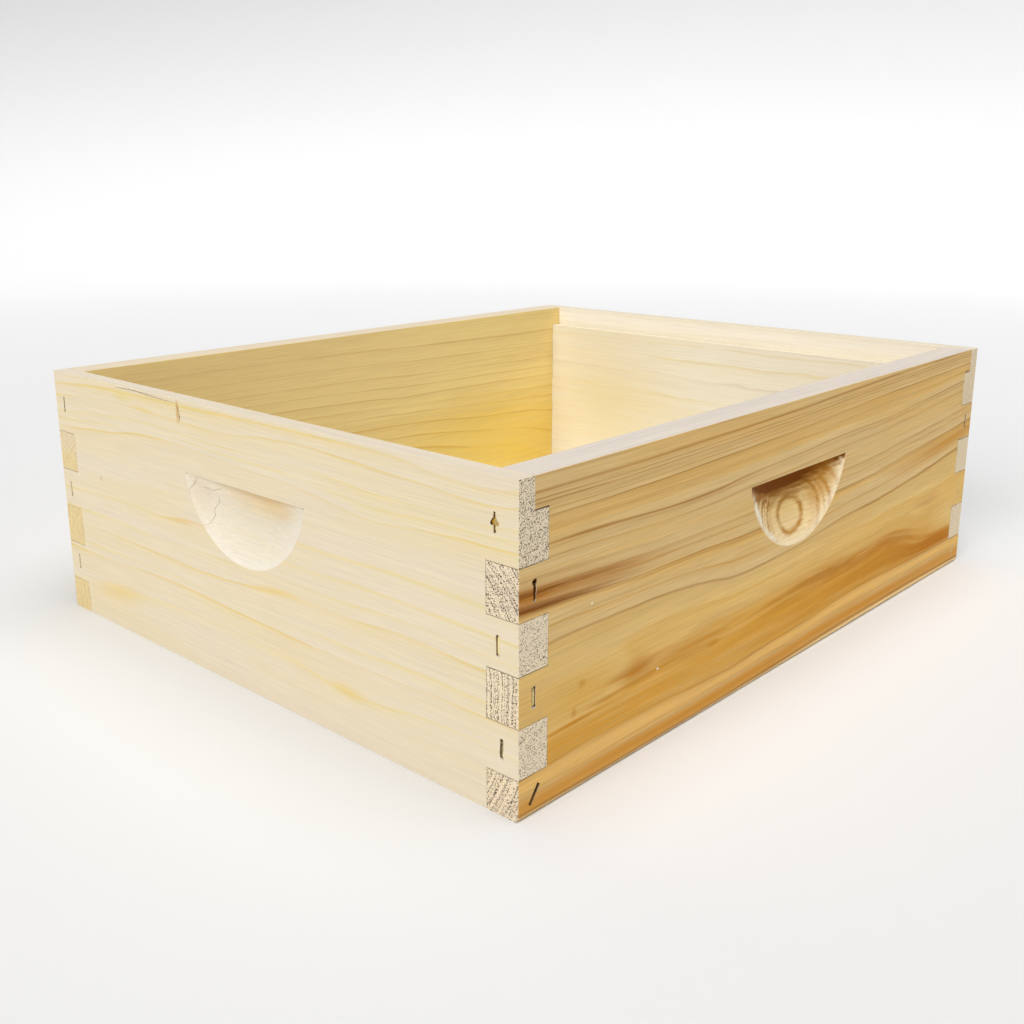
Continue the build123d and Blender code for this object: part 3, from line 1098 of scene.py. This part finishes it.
def dress_scoop(edit, out, centre, radius):
    """Divide the hollow finely, lay it on its true ball and leave the cutter's ripples in it."""
    turn, shift = board_axes(out)
    hollow = hollow_faces(edit, centre, radius)
    for _ in range(SCOOP_ROUNDS):
        long_edges = {edge for face in hollow for edge in face.edges if edge.calc_length() > SCOOP_EDGE}
        if not long_edges:
            break
        bmesh.ops.subdivide_edges(edit, edges=list(long_edges), cuts=1)
        hollow = hollow_faces(edit, centre, radius)
        bmesh.ops.triangulate(edit, faces=[face for face in hollow if len(face.verts) > 3])
        hollow = hollow_faces(edit, centre, radius)
        for vert in inner_verts(hollow):
            vert.co = centre + (vert.co - centre).normalized() * radius
    for vert in inner_verts(hollow):
        _, height, depth = turn @ vert.co + shift
        ripple = CHATTER_DEPTH * sin(2 * pi * height / CHATTER_PITCH) * min(1, -depth / (2 * MM))
        vert.co = centre + (vert.co - centre).normalized() * (radius + ripple)


def cut_away(piece, cutters):
    """Take the cutters' shapes out of a board and leave a plain mesh."""
    for mesh in cutters:
        cutter = new_piece("cutter", mesh)
        modifier = piece.modifiers.new("cut", "BOOLEAN")
        modifier.operation = "DIFFERENCE"
        modifier.solver = "EXACT"
        modifier.object = cutter
        before = piece.data
        piece.data = plain_mesh(piece)
        bpy.data.meshes.remove(before)
        bpy.data.objects.remove(cutter)
        bpy.data.meshes.remove(mesh)


def split_cutter(piece, node, width, path, seed):
    """A wedge along a path on the board's outer face or in its handhold. Width and path in millimetres."""
    turn, shift = board_axes(FACING[node])
    surface = BVHTree.FromObject(piece, bpy.context.evaluated_depsgraph_get())
    points = []
    for along, up in path:
        above = turn.transposed() @ (Vector(metres((along, up, 50))) - shift)
        points.append(surface.ray_cast(above, -FACING[node])[0])
    edges = [(i, i + 1) for i in range(len(points) - 1)]
    outs = [FACING[node]] * len(points)
    return grown_mesh(
        "split", points, edges, {"out": outs}, split_wedge, width=width * MM, depth=SPLIT_DEPTH,
        wander=SPLIT_WANDER, seed=seed, wood=PINE[node])


def torn_outline(seed):
    """A narrow ragged slot: points across and along the crown, in millimetres."""
    chance = Random(seed)
    shares = (-0.5, -0.25, 0.0, 0.25, 0.5)
    right = [(chance.uniform(*TORN_ASIDE), share * chance.uniform(*TORN_LENGTH)) for share in shares]
    left = [(-chance.uniform(*TORN_ASIDE), -share * chance.uniform(*TORN_LENGTH)) for share in shares]
    return right + left


def torn_cutter(staple, number):
    """A ragged hole round a staple that tore the wood, a little shorter at its floor."""
    middle, out, way = STAPLES[staple]
    up = way if way.z > 0 else -way
    right = up.cross(out)
    turn, shift = board_axes(out)
    middle = middle - out * (turn @ middle + shift).z
    depth, outline = TORN.get(staple) or (TORN_DEPTH, torn_outline(number))
    edit = bmesh.new()
    rim = []
    floor = []
    for x, y in outline:
        aside = middle + right * x * MM
        rim.append(edit.verts.new(aside + up * y * MM + out * 0.5 * MM))
        floor.append(edit.verts.new(aside + up * y * TORN_FLOOR_SHARE * MM - out * depth * MM))
    edit.faces.new(rim)
    edit.faces.new(reversed(floor))
    for i in range(len(outline)):
        edit.faces.new((rim[i], rim[i - 1], floor[i - 1], floor[i]))
    bmesh.ops.recalc_face_normals(edit, faces=edit.faces)
    return edited_mesh("torn", edit)


def shade_board(mesh):
    """Close the slits that the cuts left, then smooth the curved strips and the scoop."""
    edit = bmesh.new()
    edit.from_mesh(mesh)
    bmesh.ops.holes_fill(edit, edges=edit.edges, sides=0)
    for face in edit.faces:
        face.smooth = True
    for edge in edit.edges:
        flat = any(max(abs(c) for c in face.normal) > 0.99999 for face in edge.link_faces)
        angle = edge.calc_face_angle(0)
        edge.smooth = not (angle > SHARP or (flat and angle > radians(0.1)))
    edit.to_mesh(mesh)
    edit.free()


# Splits in the boards, in millimetres: width, then points along from the middle and up from the bottom edge
SPLITS = {
    "front_end_board": (
        (0.8, ((-131, 163.2), (-111, 164), (-93, 163.4), (-76, 162.6), (-59.5, 162.2))),
        (0.8, ((-60.5, 162.5), (-58.6, 160), (-57.2, 156), (-57.4, 151))),
        (0.32, ((-48.2, 121.5), (-49.5, 116), (-53, 112), (-51.5, 109))),
        (0.32, ((-33, 112), (-32, 107), (-35, 102.5), (-33.5, 99.5), (-36, 94.5), (-40, 92.5))),
        (0.3, ((-44.5, 114.5), (-36.5, 113), (-30.5, 115.5))),
    ),
}

# Holes that a few staples tore or cut wide, in millimetres: how deep, then points across and along the crown
TORN = {
    "front_right_end_staple_3": (1.8, ((-1.4, 5.2), (0.8, 5.3), (0.8, -5.2), (-1.2, -5.3))),
    "front_right_side_staple_4": (2.4, ((-1.7, 5.3), (1.3, 5.7), (1.0, 0.2), (1.4, -5.6), (-1.6, -5.4))),
    "front_right_side_staple_6": (2.6, ((-1.2, 5.7), (1.1, 5.6), (1.2, -5.7), (-1.0, -5.6))),
    "front_right_end_staple_1": (1.3, (
        (0.1, 5.3), (0.6, 4.7), (0.5, 3.7), (1.0, 2.7), (1.8, 1.3), (2.7, 0.2), (2.8, -0.8), (2.0, -1.5),
        (1.0, -1.3), (0.7, -2.3), (1.2, -3.7), (0.8, -4.5), (-0.6, -4.6), (-0.7, -3.5), (-0.4, -2.3),
        (-0.8, -1.3), (-1.9, -1.6), (-2.7, -0.7), (-2.3, 0.5), (-1.4, 1.7), (-0.8, 2.7), (-0.7, 3.9),
        (-0.5, 4.9))),
    "front_right_side_staple_2": (3.0, (
        (-1.7, 5.2), (0.2, 6.1), (1.8, 5.7), (1.6, 4.4), (1.0, 3.6), (1.3, 2.0), (1.5, 0.2), (1.0, -1.8),
        (1.2, -3.6), (0.7, -5.0), (-0.6, -5.2), (-0.7, -2.4), (-0.9, 0.4), (-0.8, 2.8), (-1.6, 3.8))),
}


def board(node):
    """A board with eased arrises, a rippled handhold, splits and torn holes, in place of the CAD one."""
    out = FACING[node]
    edit = merged_copy(node)
    centre, radius = scoop_ball(edit, out)
    break_arrises(edit)
    dress_scoop(edit, out, centre, radius)
    mesh = edited_mesh(f"{node}_planed", edit)
    mesh.materials.append(PINE[node])
    piece = new_piece(f"{node}_planed", mesh)
    splits = enumerate(SPLITS.get(node, ()))
    cutters = [split_cutter(piece, node, width, path, float(seed)) for seed, (width, path) in splits]
    torn = [name for name in STAPLES if STAPLES[name][1] == out and name not in NEAT]
    cutters += [torn_cutter(name, number) for number, name in enumerate(torn)]
    cut_away(piece, cutters)
    shade_board(piece.data)
    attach(piece, "root")
    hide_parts(node)


for node in FACING:
    board(node)
staples()


# Studio

def cove():
    """A round pale floor whose rim curves up all the way round."""
    bends = np.linspace(0, pi / 2, COVE_BEND_STEPS + 1)[1:]
    profile = [(COVE_RADIUS * 0.5, 0.0), (COVE_RADIUS, 0.0)]
    profile += [(COVE_RADIUS + COVE_BEND * sin(a), COVE_BEND * (1 - cos(a))) for a in bends]
    around = [2 * pi * step / COVE_STEPS for step in range(COVE_STEPS)]
    edit = bmesh.new()
    rings = []
    for reach, height in profile:
        rings.append([edit.verts.new((reach * cos(a), reach * sin(a), height)) for a in around])
    edit.faces.new(rings[0])
    for inner, outer in zip(rings, rings[1:]):
        for step in range(COVE_STEPS):
            edit.faces.new((inner[step - 1], outer[step - 1], outer[step], inner[step]))
    for face in edit.faces:
        face.smooth = True
    mesh = edited_mesh("cove", edit)
    material, bench, shader = new_material("pale floor")
    bench.feed(shader["Base Color"], (0.78, 0.78, 0.78, 1))
    bench.feed(shader["Roughness"], 0.9)
    mesh.materials.append(material)
    new_piece("cove", mesh)


def broad_light(name, towards, spread, power):
    """A large soft light far away, from this direction."""
    data = bpy.data.lights.new(name, "SUN")
    data.angle = radians(spread)
    data.energy = power
    new_piece(name, data).rotation_euler = Vector(towards).to_track_quat("Z", "Y").to_euler()


def photo_camera():
    """The camera where the photograph was taken from."""
    data = bpy.data.cameras.new("camera")
    data.sensor_width = 36
    data.lens = 40.76
    data.shift_x = 0.00684
    data.shift_y = -0.03635
    camera = new_piece("camera", data)
    camera.location = (0.525454, -0.607495, 0.293982)
    camera.rotation_euler = (radians(75.1375), radians(0.0725), radians(42.6363))
    bpy.context.scene.camera = camera


def room():
    """Faint even light from all round."""
    world = bpy.data.worlds.new("room")
    world.use_nodes = True
    light = world.node_tree.nodes["Background"].inputs
    light["Color"].default_value = (1, 1, 1, 1)
    light["Strength"].default_value = 0.08
    bpy.context.scene.world = world
    bpy.context.scene.view_settings.view_transform = "Standard"


cove()
broad_light("window", (0.12, -0.88, 0.47), 30, 1.65)
broad_light("sky", (0.2, 0.0, 1.0), 60, 2.4)
photo_camera()
room()
